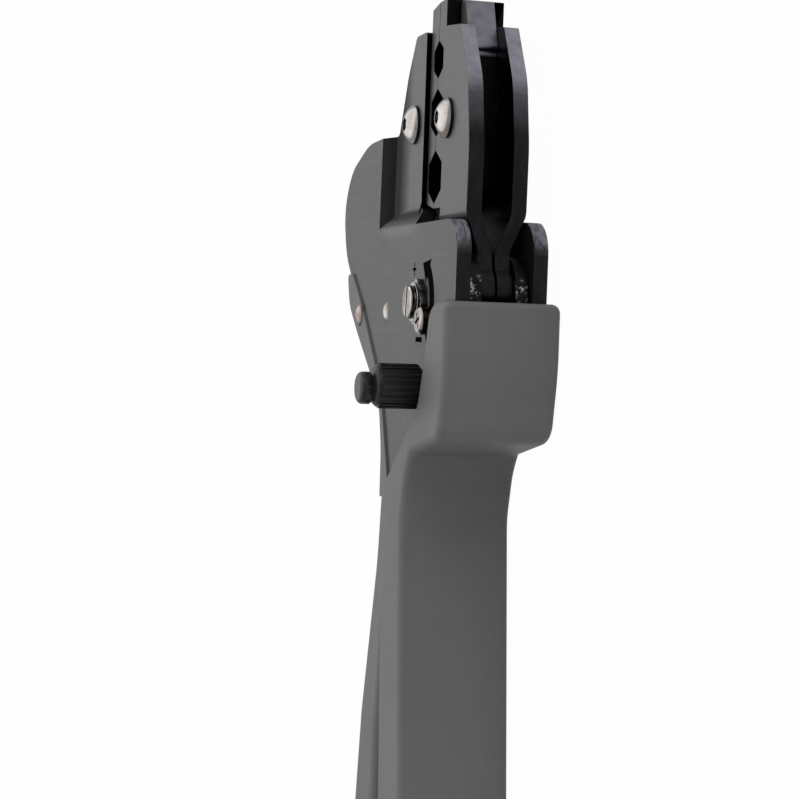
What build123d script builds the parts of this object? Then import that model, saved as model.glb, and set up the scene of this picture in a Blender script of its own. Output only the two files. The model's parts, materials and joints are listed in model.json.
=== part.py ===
"""Coaxial crimping tool, lying on the right side of its grips, in millimetres.

Modelled with X towards the moving handle, Y towards the tip of the dies and Z out of the
adjuster side. X 0 is the parting line of the dies, Y 0 the middle crimp cavity, Z 0 the
middle of the tool. At the end all is moved so the origin is the bottom centre of its box.
"""
from build123d import *
from math import atan2, cos, degrees, radians, sin, sqrt, tan
import os

# Clearances
running_gap = 0.05
seat_gap = 0.02
parting_gap = 0.04
side_gap = 0.2
tooth_gap = 0.25

# Frame plates
plate_thickness = 2.8
plate_inner = 6.1
pressed_in = 2.05
shoulder_y = -22.0
shoulder_back_x = -1.4
frame_front_x = 27.7
jaw_front_x = -5.3
tang_end_y = -150.0
tang_back_x = -18.8
tang_front_x = -12.9

# Moving jaw and handle arms
jaw_plate_thickness = 3.0
die_tongue_half = 2.9
jaw_seat_x = 4.9
bend_top_y = -21.0
bend_bottom_y = -27.8
jaw_gap_half = 0.2
jaw_hub_radius = 5.0
jaw_tail_radius = 2.7
arm_inner = 3.3
arm_thickness = 2.5
arm_eye_radius = 6.6
knee_eye_radius = 4.8
arm_end_y = -146.0

# Pivots of the linkage
main_pivot = (4.4, -37.6)
handle_pivot = (19.5, -35.2)
frame_pivot = (-6.0, -70.0)
knee_reach = 12.5
main_pin_radius = 3.5
handle_pin_radius = 3.0
knee_pin_radius = 2.4
frame_pin_radius = 2.5
link_half_thickness = 2.9
link_frame_eye_radius = 4.8
link_knee_eye_radius = 4.2
knee_slot_reach = 0.75
knee_slot_side = 0.37

# Dies and their hexagonal crimp cavities, each as centre height and width across flats
die_half_thickness = 5.8
die_top_y = 21.8
die_bottom_y = -19.0
cavities = ((10.45, 6.48), (0.0, 8.23), (-12.7, 9.14))
fixed_screw_place = (-12.0, -1.35)
moving_screw_place = (8.3, -1.8)
button_head_radius = 3.95
button_head_height = 2.3
button_socket_width = 2.5
button_socket_depth = 1.4
die_screw_radius = 2.0
die_nut_width = 7.0
die_nut_height = 3.0

# Adjuster at the main pivot
star_radius = 4.6
star_thickness = 1.4
star_notches = 8
clip_radius = 3.9
clip_thickness = 0.45
cap_neck_radius = 2.7
cap_neck_height = 0.25
cap_head_radius = 3.3
cap_head_height = 0.95
lock_screw_place = (10.3, -41.2)
lock_head_radius = 2.75
lock_head_height = 2.4
lock_shank_radius = 1.3
spacer_radius = 4.6

# Ratchet, its pawl and the release knob
knob_place = (8.3, -54.0)
sector_radius = 15.0
sector_inner_radius = 6.6
ratchet_tooth_angle = 3.6
ratchet_tooth_height = 0.8
ratchet_teeth = 4
notch_angle = 4.5
sector_margin_angle = 4.5
sector_rivet_radius = 1.0
pawl_boss_radius = 3.4
pawl_tail_reach = 5.6
pawl_tail_radius = 1.5
pawl_stud_radius = 0.7
knob_shaft_radius = 2.0
knob_washer_radius = 3.2
knob_washer_thickness = 0.4
knob_radius = 4.4
knob_length = 9.7
knob_ribs = 24
knob_rib_radius = 0.32
knob_neck_radius = 2.6
knob_neck_length = 0.4
knob_cap_radius = 3.15
knob_cap_height = 2.7
knob_cap_drop = 0.5

# Rivets through the frame
rear_rivet_place = (-43.2, -40.1)
rear_rivet_radius = 1.7
rear_head_radius = 2.6
rear_head_height = 0.95
small_rivet_place = (-22.3, -39.4)
small_rivet_radius = 1.3
small_head_radius = 2.1
small_head_height = 0.7
sleeve_wall = 0.7

# Springs
spring_hook_place = (-3.6, -43.6)
spring_stud_radius = 1.1
return_wire = 0.32
return_coil_radius = 1.15
return_turns = 9
pawl_wire = 0.25
pawl_coil_radius = 0.8
pawl_turns = 12

# Grips
grip_half_width = 11.4
grip_edge_radius = 1.9
guard_gap = 0.4
guard_top_y = -37.4
guard_inner_front_x = 28.2
guard_front_x = 29.9
grip_solid_top_y = -78.6
tail_skin = 0.55
grip_end_y = -206.0
grip_top_y = -74.5
fixed_grip_edge_radius = 2.6

# Values that follow from those above
plate_outer = plate_inner + plate_thickness
tail_half_width = plate_outer + tail_skin
hollow_half_width = plate_outer + guard_gap
pressed_inner = plate_inner - pressed_in
pressed_outer = plate_outer - pressed_in
jaw_outer = die_tongue_half + jaw_plate_thickness
jaw_low_outer = jaw_gap_half + jaw_plate_thickness
arm_outer = arm_inner + arm_thickness
to_frame = Vector(*frame_pivot) - Vector(*handle_pivot)
knee_place = Vector(*handle_pivot) + to_frame.normalized() * knee_reach
knee = (knee_place.X, knee_place.Y)
knob_from_frame_pivot = Vector(*knob_place) - Vector(*frame_pivot)
toe_angle = degrees(atan2(knob_from_frame_pivot.Y, knob_from_frame_pivot.X))
toe_length = knob_from_frame_pivot.length - sector_radius - tooth_gap


def rounded_face(corners):
    """Closed outline through (x, y, radius) corners, each rounded by its own radius."""
    points = [Vector(x, y) for x, y, _ in corners]
    runs = []
    for index, (_, _, radius) in enumerate(corners):
        corner = points[index]
        back = (points[index - 1] - corner).normalized()
        ahead = (points[(index + 1) % len(points)] - corner).normalized()
        half_angle = radians(back.get_angle(ahead)) / 2
        reach = radius / tan(half_angle)
        middle = corner + (back + ahead).normalized() * (radius / sin(half_angle) - radius)
        runs.append((corner + back * reach, middle, corner + ahead * reach, radius))
    edges = []
    for index, (start, middle, end, radius) in enumerate(runs):
        if radius > 0:
            edges.append(ThreePointArc(start, middle, end))
        edges.append(Line(end, runs[(index + 1) % len(runs)][0]))
    face = Face(Wire(edges))
    return face if face.normal_at().Z > 0 else -face


def slab(face, low, high):
    """Flat piece of an outline between two heights."""
    return extrude(Pos(0, 0, low) * face, high - low, dir=(0, 0, 1))


def disc(place, radius, low, high):
    """Round piece standing along Z at a place, between two heights."""
    return Pos(place[0], place[1], (low + high) / 2) * Cylinder(radius, high - low)


def mirrored(solid):
    """The same piece on the other side of the tool."""
    return mirror(solid, Plane.XY)


def bar(start, start_radius, end, end_radius):
    """Outline of a tapered bar with round ends."""
    line = Vector(*end) - Vector(*start)
    heading = atan2(line.Y, line.X)
    lean = (start_radius - end_radius) / line.length
    side = sqrt(1 - lean * lean)
    corners = []
    for centre, radius, turn in ((start, start_radius, 1), (end, end_radius, 1),
                                 (end, end_radius, -1), (start, start_radius, -1)):
        along = radius * lean
        across = radius * side * turn
        corners.append((centre[0] + along * cos(heading) - across * sin(heading),
                        centre[1] + along * sin(heading) + across * cos(heading), 0))
    ends = [Pos(*start) * Circle(start_radius), Pos(*end) * Circle(end_radius)]
    return rounded_face(corners) + ends


def button_screw(place, seat, reach, shank_radius, head_radius, head_height, socket_width,
                 socket_depth):
    """Domed screw on the adjuster side: head above the seat, shank down to the reach."""
    rise = head_height * 0.22
    crown = head_radius * 0.42
    profile = make_face(
        Curve() + [
            Line((0, 0), (head_radius, 0)),
            Line((head_radius, 0), (head_radius, rise)),
            ThreePointArc((head_radius, rise), (head_radius * 0.82, head_height * 0.72),
                          (crown, head_height)),
            Line((crown, head_height), (0, head_height)),
            Line((0, head_height), (0, 0)),
        ]
    )
    head = revolve(Plane.XZ * profile, Axis.Z)
    socket = extrude(Pos(0, 0, head_height - socket_depth) * RegularPolygon(
        socket_width / sqrt(3), 6), head_height)
    return Pos(place[0], place[1], seat) * (head - socket) + disc(
        place, shank_radius, reach, seat)


def hex_nut(place, width, low, high, bore_radius):
    """Plain hexagonal nut with its bore."""
    blank = extrude(Pos(place[0], place[1], low) * RegularPolygon(width / sqrt(3), 6), high - low)
    return blank - disc(place, bore_radius, low, high)


def dome_rivet(place, shank_radius, head_radius, head_height, seat):
    """Rivet across the frame with a low dome on each side."""
    dome_radius = (head_radius ** 2 + head_height ** 2) / (2 * head_height)
    ball = Pos(place[0], place[1], seat + head_height - dome_radius) * Sphere(dome_radius)
    head = ball & disc(place, head_radius, seat, seat + head_height)
    return disc(place, shank_radius, -seat, seat) + head + mirrored(head)


def sleeve(place, bore_radius, wall):
    """Distance tube that a rivet holds between the two frame plates."""
    return disc(place, bore_radius + wall, -plate_inner, plate_inner) - disc(
        place, bore_radius, -plate_inner, plate_inner)


def wire_eye(place, height, radius, wire):
    """Flat eye round a pin, with sixteen sides."""
    ring = RegularPolygon(radius + wire, 16) - RegularPolygon(radius - wire, 16)
    return Pos(place[0], place[1], height) * extrude(ring, wire, both=True)


def wound_coil(length, coil_radius, wire, turns):
    """Close-wound coil with eight sides and one ridge for each turn, along Z from 0."""
    pitch = length / turns
    slant = degrees(atan2(wire, pitch / 2))
    rise = extrude(RegularPolygon(coil_radius + wire, 8), pitch / 2, taper=slant)
    ridge = rise + mirror(rise, Plane.XY)
    coil = Part()
    for turn in range(turns):
        coil += Pos(0, 0, (turn + 0.5) * pitch) * ridge
    return coil - extrude(RegularPolygon(coil_radius - wire, 8), length)


def extension_spring(start, start_eye, end, end_eye, height, coil_radius, wire, turns):
    """Coil between two eyes; each eye lies flat round the pin that it hooks on."""
    line = Vector(*end) - Vector(*start)
    direction = line.normalized()
    lead = coil_radius * 2
    coil_length = line.length - start_eye - end_eye - 2 * lead
    coil_start = Vector(*start) + direction * (start_eye + lead)
    coil_plane = Plane(origin=(coil_start.X, coil_start.Y, height),
                       z_dir=(direction.X, direction.Y, 0))
    body = coil_plane * wound_coil(coil_length, coil_radius, wire, turns)
    for centre, eye, heading in ((start, start_eye, direction), (end, end_eye, -direction)):
        body += wire_eye(centre, height, eye, wire)
        leg_start = Vector(*centre) + heading * eye
        leg_plane = Plane(origin=(leg_start.X, leg_start.Y, height),
                          z_dir=(heading.X, heading.Y, 0))
        body += leg_plane * extrude(RegularPolygon(wire, 6), lead)
        cap_thickness = wire * 2
        cap_plane = leg_plane.offset(lead - cap_thickness / 2)
        body += cap_plane * extrude(RegularPolygon(coil_radius + wire * 0.4, 8), cap_thickness)
    return body


# Frame

def frame_outline():
    """Head with the fixed jaw, the round back, the front shoulder and the tang for the grip."""
    boss = 5.6
    return rounded_face([
        (jaw_front_x, 16.6, 0.8),
        (-12.9, 16.6, 1.8),
        (-18.6, 9.0, 16.0),
        (-24.2, -2.5, 2.0),
        (-42.0, -3.0, 30.0),
        (-58.0, -8.0, 14.0),
        (-63.6, -16.5, 9.0),
        (-60.5, -26.5, 14.0),
        (-54.2, -31.9, 1.2),
        (-52.0, -37.2, 8.0),
        (-44.6, -42.7, 20.0),
        (-32.0, -50.8, 20.0),
        (-22.6, -58.0, 8.0),
        (-19.6, -68.0, 20.0),
        (tang_back_x, -84.0, 20.0),
        (tang_back_x, tang_end_y, 2.0),
        (tang_front_x, tang_end_y, 2.0),
        (tang_front_x, -82.0, 6.0),
        (frame_pivot[0] - boss, frame_pivot[1] - boss, 3.0),
        (frame_pivot[0] + boss, frame_pivot[1] - boss, 5.0),
        (frame_pivot[0] + boss + 2.2, frame_pivot[1] + 4.4, 4.0),
        (25.0, -49.0, 8.0),
        (frame_front_x, -42.0, 6.0),
        (frame_front_x, shoulder_y, 6.5),
        (shoulder_back_x, shoulder_y, 0.6),
        (jaw_front_x + 0.6, die_bottom_y + 0.5, 0.5),
        (jaw_front_x - 4.2, shoulder_y, 0.4),
        (jaw_front_x, die_bottom_y + 1.6, 0.4),
    ])


def press_region(low_height, high_height, spread, front_x):
    """Sloping region of the plate that the press pushed in for the fixed jaw."""
    top_y = 60.0
    inner = [(-24.3 - spread, top_y), (-26.2 - spread, -19.4 - spread),
             (front_x, -19.4 - spread), (front_x, top_y)]
    outer = [(-28.4 - spread, top_y), (-30.6 - spread, -21.9 - spread),
             (front_x, -21.9 - spread), (front_x, top_y)]
    low_wire = Wire(Polyline([Vector(x, y, low_height) for x, y in inner], close=True).edges())
    high_wire = Wire(Polyline([Vector(x, y, high_height) for x, y in outer], close=True).edges())
    return Solid.make_loft([low_wire, high_wire], True)


def frame_plate():
    """Left frame plate, with the fixed jaw pressed towards the middle."""
    outline = frame_outline()
    plate = slab(outline, plate_inner, plate_outer)
    plate -= press_region(pressed_outer, plate_outer, 0, frame_front_x)
    lowered = slab(outline, pressed_inner, plate_inner)
    bend_shift = 0.6
    plate += lowered & press_region(pressed_inner, plate_inner, bend_shift, shoulder_back_x)
    plate -= disc(fixed_screw_place, die_screw_radius + seat_gap, 0, plate_outer)
    for place, radius in ((main_pivot, main_pin_radius), (frame_pivot, frame_pin_radius),
                          (rear_rivet_place, rear_rivet_radius),
                          (small_rivet_place, small_rivet_radius)):
        plate -= disc(place, radius + seat_gap, 0, plate_outer)
    return plate


def frame_plate_left():
    """Adjuster side: it also carries the lock screw and the knob's shaft."""
    plate = frame_plate()
    plate -= disc(lock_screw_place, lock_shank_radius + seat_gap, 0, plate_outer)
    plate -= disc(knob_place, knob_shaft_radius + running_gap, 0, plate_outer)
    return plate


# Dies

def cavity_cutters():
    """Hexagonal prisms of the crimp cavities, with two corners on the parting line."""
    tools = []
    for height, width in cavities:
        prism = extrude(RegularPolygon(width / sqrt(3), 6, rotation=30), die_half_thickness * 2,
                        both=True)
        tools.append(Pos(0, height, 0) * prism)
    return tools


def fixed_die():
    """Fixed half: a wide face in front of the jaw plates and a tongue held between them."""
    tongue_half = pressed_inner - seat_gap
    wide = slab(rounded_face([
        (-parting_gap / 2, die_top_y, 0.3),
        (jaw_front_x + seat_gap, die_top_y - 0.9, 0.4),
        (jaw_front_x + seat_gap, die_bottom_y + 1.2, 0.3),
        (-parting_gap / 2, die_bottom_y, 0.3),
    ]), -die_half_thickness, die_half_thickness)
    tongue = slab(rounded_face([
        (jaw_front_x + 1.0, 14.5, 0),
        (-13.6, 14.5, 3.0),
        (-20.5, 1.0, 4.0),
        (-20.5, -15.0, 3.0),
        (jaw_front_x + 1.0, -16.5, 0),
    ]), -tongue_half, tongue_half)
    body = wide + tongue
    body -= disc(fixed_screw_place, die_screw_radius + seat_gap, -tongue_half, tongue_half)
    return body - cavity_cutters()


def moving_die():
    """Moving half: its tongue sits between the moving jaw plates, sloping at the top."""
    tongue_half = die_tongue_half - seat_gap
    wide = slab(rounded_face([
        (parting_gap / 2, die_top_y, 0.3),
        (jaw_seat_x - seat_gap, die_top_y, 0.3),
        (jaw_seat_x - seat_gap, die_bottom_y, 0.3),
        (parting_gap / 2, die_bottom_y, 0.3),
    ]), -die_half_thickness, die_half_thickness)
    tongue = slab(rounded_face([
        (jaw_seat_x - 1.0, die_top_y - 0.3, 0),
        (7.6, die_top_y - 0.5, 0.4),
        (11.2, 11.8, 0.6),
        (10.2, 11.2, 0.4),
        (13.4, -3.0, 20.0),
        (13.4, -16.0, 2.0),
        (jaw_seat_x - 1.0, -17.0, 0),
    ]), -tongue_half, tongue_half)
    body = wide + tongue
    body -= disc(moving_screw_place, die_screw_radius + seat_gap, -tongue_half, tongue_half)
    return body - cavity_cutters()


# Moving jaw

def jaw_outline():
    """Side view of the moving jaw, from its top to the two hubs and the spring tail."""
    hub_x, hub_y = main_pivot
    end_x, end_y = handle_pivot
    reach = jaw_hub_radius
    web_below = 3.6
    sides = rounded_face([
        (jaw_seat_x, 16.5, 0.6),
        (14.3, 15.5, 0.8),
        (20.9, 4.6, 14.0),
        (23.2, -8.0, 24.0),
        (23.0, -20.0, 20.0),
        (21.9, -29.6, 6.0),
        (end_x + reach, end_y, 2.0),
        (end_x + 3.0, end_y - web_below, 1.0),
        (hub_x, hub_y - web_below, 1.0),
        (hub_x - reach, hub_y - 1.0, 2.0),
        (-2.2, -26.5, 6.0),
        (jaw_seat_x, -20.6, 3.0),
    ])
    hubs = [Pos(*main_pivot) * Circle(reach), Pos(*handle_pivot) * Circle(reach)]
    tail = bar(main_pivot, jaw_hub_radius - 0.5, spring_hook_place, jaw_tail_radius)
    return sides + hubs + tail


def jaw_plate():
    """Left jaw plate, bent so both plates lie side by side below the dies."""
    top_y = 20.0
    low_y = -52.0
    reach_x = 60.0
    bend_radius = 4.0
    strip = rounded_face([
        (top_y, die_tongue_half, 0),
        (bend_top_y, die_tongue_half, bend_radius),
        (bend_bottom_y, jaw_gap_half, bend_radius),
        (low_y, jaw_gap_half, 0),
        (low_y, jaw_low_outer, 0),
        (bend_bottom_y, jaw_low_outer, bend_radius),
        (bend_top_y, jaw_outer, bend_radius),
        (top_y, jaw_outer, 0),
    ])
    folded = extrude(Plane.YZ * strip, reach_x, both=True)
    plate = folded & slab(jaw_outline(), 0, jaw_outer)
    plate -= disc(moving_screw_place, die_screw_radius + seat_gap, 0, jaw_outer)
    plate -= disc(main_pivot, main_pin_radius + running_gap, 0, jaw_outer)
    plate -= disc(handle_pivot, handle_pin_radius + running_gap, 0, jaw_outer)
    return plate


def spring_stud():
    """Short stud on the tail of the jaw for the eye of the return spring."""
    shank = disc(spring_hook_place, spring_stud_radius, -arm_outer, -jaw_low_outer)
    head = disc(spring_hook_place, spring_stud_radius + 0.5, -arm_outer - 0.2, -arm_outer + 0.4)
    return shank + head


# Handle arms, link and pins

def handle_arm():
    """Left arm: an eye at the jaw, an eye at the knee, a neck and the tang in the grip."""
    end_x, end_y = handle_pivot
    knee_x, knee_y = knee
    body = rounded_face([
        (end_x + arm_eye_radius, end_y, 0),
        (end_x + arm_eye_radius, -49.0, 9.0),
        (21.5, -58.6, 6.0),
        (10.5, -64.6, 6.0),
        (3.1, -70.4, 4.0),
        (0.8, -80.0, 10.0),
        (2.6, arm_end_y, 2.0),
        (-4.4, arm_end_y, 2.0),
        (-5.6, -80.0, 10.0),
        (frame_pivot[0] + frame_pin_radius + 0.8, frame_pivot[1] - 2.0, 3.0),
        (frame_pivot[0] + frame_pin_radius + 0.8, frame_pivot[1] + 1.6, 2.0),
        (9.0, -61.2, 3.0),
        (knob_place[0] + pawl_boss_radius + 1.6, -56.0, 2.0),
        (knob_place[0] + pawl_boss_radius + 1.6, -49.5, 3.0),
        (knee_x, knee_y, 0),
    ])
    body += bar(handle_pivot, arm_eye_radius, knee, knee_eye_radius)
    arm = slab(body, arm_inner, arm_outer)
    arm -= disc(handle_pivot, handle_pin_radius + seat_gap, 0, arm_outer)
    arm -= disc(knee, knee_pin_radius + seat_gap, 0, arm_outer)
    return arm


def knee_slot():
    """Oversize hole of the link at the knee, drawn out towards the frame pivot."""
    towards = to_frame.normalized()
    side = Vector(-towards.Y, towards.X)
    reach = towards * knee_slot_reach + side * knee_slot_side
    far = (knee[0] + reach.X, knee[1] + reach.Y)
    radius = knee_pin_radius + side_gap
    return bar(knee, radius, far, radius)


def toggle_link():
    """Thrust link between the frame pivot and the knee of the handle."""
    outline = bar(frame_pivot, link_frame_eye_radius, knee, link_knee_eye_radius) - knee_slot()
    link = slab(outline, -link_half_thickness, link_half_thickness)
    link -= disc(frame_pivot, frame_pin_radius + running_gap, -link_half_thickness,
                 link_half_thickness)
    for place in sector_rivet_places():
        link -= disc(place, sector_rivet_radius + seat_gap, -link_half_thickness,
                     link_half_thickness)
    return link


def polar(centre, radius, angle):
    """Point at a radius and an angle in degrees from a centre."""
    return (centre[0] + radius * cos(radians(angle)), centre[1] + radius * sin(radians(angle)))


def sector_rivet_places():
    """Two rivet places on the line of the link, under the ratchet sector."""
    along = degrees(atan2(-to_frame.Y, -to_frame.X))
    return [polar(frame_pivot, sector_inner_radius + step, along) for step in (1.8, 6.0)]


def ratchet_sector():
    """Toothed sector on the link, with a rest notch below and above its teeth."""
    teeth_angle = ratchet_teeth * ratchet_tooth_angle
    root = sector_radius - ratchet_tooth_height
    low = toe_angle - notch_angle - sector_margin_angle
    high = toe_angle + notch_angle + teeth_angle + notch_angle + sector_margin_angle
    points = [polar(frame_pivot, sector_radius, low),
              polar(frame_pivot, sector_radius, toe_angle - notch_angle),
              polar(frame_pivot, root, toe_angle - notch_angle * 0.6)]
    first = toe_angle + notch_angle
    points.append(polar(frame_pivot, root, toe_angle + notch_angle * 0.6))
    for tooth in range(ratchet_teeth):
        start = first + tooth * ratchet_tooth_angle
        points.append(polar(frame_pivot, sector_radius, start + ratchet_tooth_angle * 0.35))
        points.append(polar(frame_pivot, sector_radius, start + ratchet_tooth_angle * 0.6))
        points.append(polar(frame_pivot, root, start + ratchet_tooth_angle))
    last = first + teeth_angle
    points.append(polar(frame_pivot, root, last + notch_angle * 0.6))
    points.append(polar(frame_pivot, sector_radius, last + notch_angle))
    points.append(polar(frame_pivot, sector_radius, high))
    points.append(polar(frame_pivot, sector_inner_radius, high))
    points.append(polar(frame_pivot, sector_inner_radius - 0.6, (low + high) / 2))
    points.append(polar(frame_pivot, sector_inner_radius, low))
    face = rounded_face([(x, y, 0) for x, y in points])
    sector = slab(face, link_half_thickness, arm_outer - side_gap)
    for place in sector_rivet_places():
        sector -= disc(place, sector_rivet_radius + seat_gap, 0, arm_outer)
    return sector


def sector_rivets():
    """Flush rivets that hold the sector on the link."""
    return [disc(place, sector_rivet_radius, -link_half_thickness, arm_outer - side_gap)
            for place in sector_rivet_places()]


def ratchet_pawl():
    """Pawl on the knob's shaft: its toe points at the sector, its tail carries the spring."""
    toe_heading = toe_angle + 180
    tip = polar(knob_place, toe_length, toe_heading)
    flank = pawl_boss_radius * 0.8
    left = polar(knob_place, flank, toe_heading + 75)
    right = polar(knob_place, flank, toe_heading - 75)
    toe = rounded_face([(tip[0], tip[1], 0.25), (left[0], left[1], 0), (right[0], right[1], 0)])
    tail_end = pawl_tail_end()
    low = arm_inner
    tail_high = low + 1.2
    body = slab(toe + Pos(*knob_place) * Circle(pawl_boss_radius), low, arm_outer)
    body += slab(bar(knob_place, pawl_boss_radius * 0.7, tail_end, pawl_tail_radius), low, tail_high)
    body += disc(tail_end, pawl_stud_radius, tail_high, arm_outer)
    return body - disc(knob_place, knob_shaft_radius, low, arm_outer)


def pawl_tail_end():
    """Place of the spring's stud on the tail of the pawl."""
    return (knob_place[0] - pawl_tail_reach, knob_place[1] + 1.2)


def release_knob():
    """Ribbed knob that lifts the pawl."""
    low = plate_outer + running_gap * 2 + knob_washer_thickness
    high = low + knob_length
    body = Pos(knob_place[0], knob_place[1], (low + high) / 2) * Cylinder(
        knob_radius - knob_rib_radius, knob_length)
    body = chamfer(body.edges().filter_by(GeomType.CIRCLE), 0.7)
    pitch_radius = knob_radius - knob_rib_radius
    rib_low = low + 0.9
    rib_high = high - 1.1
    for index in range(knob_ribs):
        turn = index * 360 / knob_ribs
        place = polar(knob_place, pitch_radius, turn)
        rib = Pos(place[0], place[1]) * Rot(0, 0, turn) * RegularPolygon(knob_rib_radius, 6)
        body += slab(rib, rib_low, rib_high)
    return body - disc(knob_place, knob_shaft_radius, low, high)


def knob_shaft():
    """Shaft through the left plate, from the pawl to the outer end of the knob."""
    return disc(knob_place, knob_shaft_radius, arm_inner, knob_top())


def knob_top():
    """Height of the outer end of the knob."""
    return plate_outer + running_gap * 2 + knob_washer_thickness + knob_length


def knob_washer():
    """Thin washer between the knob and the plate."""
    low = plate_outer + running_gap
    high = low + knob_washer_thickness
    return disc(knob_place, knob_washer_radius, low, high) - disc(
        knob_place, knob_shaft_radius, low, high)


def knob_cap():
    """Domed cap on a short neck, a little below the axis of the knob it closes."""
    place = (knob_place[0], knob_place[1] - knob_cap_drop)
    low = knob_top()
    edge = low + knob_neck_length
    top = edge + knob_cap_height
    cap = disc(place, knob_cap_radius, edge, top)
    cap = fillet(cap.edges().filter_by(GeomType.CIRCLE).sort_by(Axis.Z)[-1], 1.1)
    cap = chamfer(cap.edges().filter_by(GeomType.CIRCLE).sort_by(Axis.Z)[0], 0.35)
    return disc(place, knob_neck_radius, low, edge) + cap


# Adjuster

def pivot_pin():
    """Main pivot pin, with a flat head on the plain side."""
    head_height = 0.9
    pin = disc(main_pivot, main_pin_radius, -plate_outer, plate_outer)
    head = disc(main_pivot, main_pin_radius + 1.8, -plate_outer - head_height, -plate_outer)
    return pin + head


def pivot_spacers():
    """Washers that centre the moving jaw between the frame plates."""
    low = jaw_low_outer + running_gap
    ring = disc(main_pivot, spacer_radius, low, plate_inner) - disc(
        main_pivot, main_pin_radius + seat_gap, low, plate_inner)
    return [ring, mirrored(ring)]


def star_wheel():
    """Notched wheel that turns the eccentric pivot; the lock screw sits in one notch."""
    low = plate_outer
    high = low + star_thickness
    reach = Vector(*lock_screw_place) - Vector(*main_pivot)
    heading = degrees(atan2(reach.Y, reach.X))
    wheel = disc(main_pivot, star_radius, low, high)
    for index in range(star_notches):
        place = polar(main_pivot, reach.length, heading + index * 360 / star_notches)
        wheel -= disc(place, lock_head_radius + side_gap / 2, low, high)
    return wheel


def pivot_cap_screw():
    """Clip ring, neck and slotted head that hold the star wheel on the pivot pin."""
    seat = plate_outer + star_thickness
    neck = seat + clip_thickness
    low = neck + cap_neck_height
    top = low + cap_head_height
    clip = disc(main_pivot, clip_radius, seat, neck)
    head = disc(main_pivot, cap_head_radius, low, top)
    head = chamfer(head.edges().filter_by(GeomType.CIRCLE).sort_by(Axis.Z)[-1], 0.3)
    slot_width = 0.8
    slot_turn = 82
    slot = Pos(main_pivot[0], main_pivot[1], top) * Rot(0, 0, slot_turn) * Box(
        cap_head_radius * 2, slot_width, cap_head_height)
    return clip + disc(main_pivot, cap_neck_radius, neck, low) + head - slot


def lock_screw():
    """Cross-head screw in a notch of the star wheel."""
    low = plate_outer
    high = low + lock_head_height
    head = disc(lock_screw_place, lock_head_radius, low, high)
    head = chamfer(head.edges().filter_by(GeomType.CIRCLE).sort_by(Axis.Z)[-1], 0.5)
    for turn in (20, 110):
        head -= Pos(lock_screw_place[0], lock_screw_place[1], high) * Rot(0, 0, turn) * Box(
            lock_head_radius * 1.2, 0.6, 1.4)
    return head + disc(lock_screw_place, lock_shank_radius, plate_inner + side_gap, low)


# Grips

def fixed_grip_blank():
    """Grip before its hollow: a side outline crossed with a front outline that widens down."""
    side = rounded_face([
        (-20.8, grip_top_y, 0),
        (-20.8, -90.0, 60.0),
        (-24.6, -126.0, 100.0),
        (-30.4, -166.0, 100.0),
        (-34.8, grip_end_y, 6.0),
        (-16.2, grip_end_y, 5.0),
        (-12.4, -166.0, 60.0),
        (-10.9, -122.0, 60.0),
        (-10.9, -88.0, 20.0),
        (-13.4, grip_top_y, 0),
    ])
    front = rounded_face([
        (grip_top_y, -tail_half_width, 0),
        (grip_top_y, tail_half_width, 0),
        (-94.0, tail_half_width + 0.6, 30.0),
        (-124.0, grip_half_width, 30.0),
        (grip_end_y, grip_half_width, 0),
        (grip_end_y, -grip_half_width, 0),
        (-124.0, -grip_half_width, 30.0),
        (-94.0, -tail_half_width - 0.6, 30.0),
    ])
    reach_x = 60.0
    blank = slab(side, -grip_half_width, grip_half_width)
    blank &= extrude(Plane.YZ * front, reach_x, both=True)
    long_edges = [edge for edge in blank.edges()
                  if edge.center().Y < grip_top_y - 1 and abs(edge.center().Z) > tail_half_width - 1
                  and abs(edge.tangent_at(0.5).Z) < 0.5]
    return fillet(long_edges, fixed_grip_edge_radius)


def fixed_grip(plate):
    """Moulded grip on the frame's tang, with a tail up the back of the head."""
    tail_lap = 3.5
    plate_lap = 0.5
    body = fixed_grip_blank()
    tail = slab(rounded_face([
        (-51.6, -31.0, 0.5),
        (-55.9, -31.2, 1.2),
        (-53.4, -38.0, 8.0),
        (-45.4, -44.0, 20.0),
        (-32.8, -52.3, 20.0),
        (-23.7, -59.3, 8.0),
        (-21.0, -68.0, 20.0),
        (-20.8, grip_top_y - tail_lap, 0),
        (-13.4, grip_top_y - tail_lap, 0),
        (-14.6, grip_top_y - plate_lap, 4.0),
        (-19.0, -65.0, 10.0),
        (-21.4, -59.6, 10.0),
        (-29.2, -50.0, 20.0),
        (-38.6, -41.2, 20.0),
        (-45.0, -35.8, 10.0),
    ]), -tail_half_width, tail_half_width)
    inside = slab(rounded_face([
        (-60.0, -20.0, 0),
        (-54.2, -31.9, 1.2),
        (-52.0, -37.2, 8.0),
        (-44.6, -42.7, 20.0),
        (-32.0, -50.8, 20.0),
        (-22.6, -58.0, 8.0),
        (-19.6, -68.0, 20.0),
        (-19.2, grip_top_y + plate_lap, 0),
        (0, grip_top_y + plate_lap, 0),
        (0, -20.0, 0),
    ]), -plate_outer, plate_outer)
    body += tail - inside
    body -= [plate, mirrored(plate)]
    body -= disc(rear_rivet_place, rear_rivet_radius + seat_gap, -grip_half_width, grip_half_width)
    return body


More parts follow.
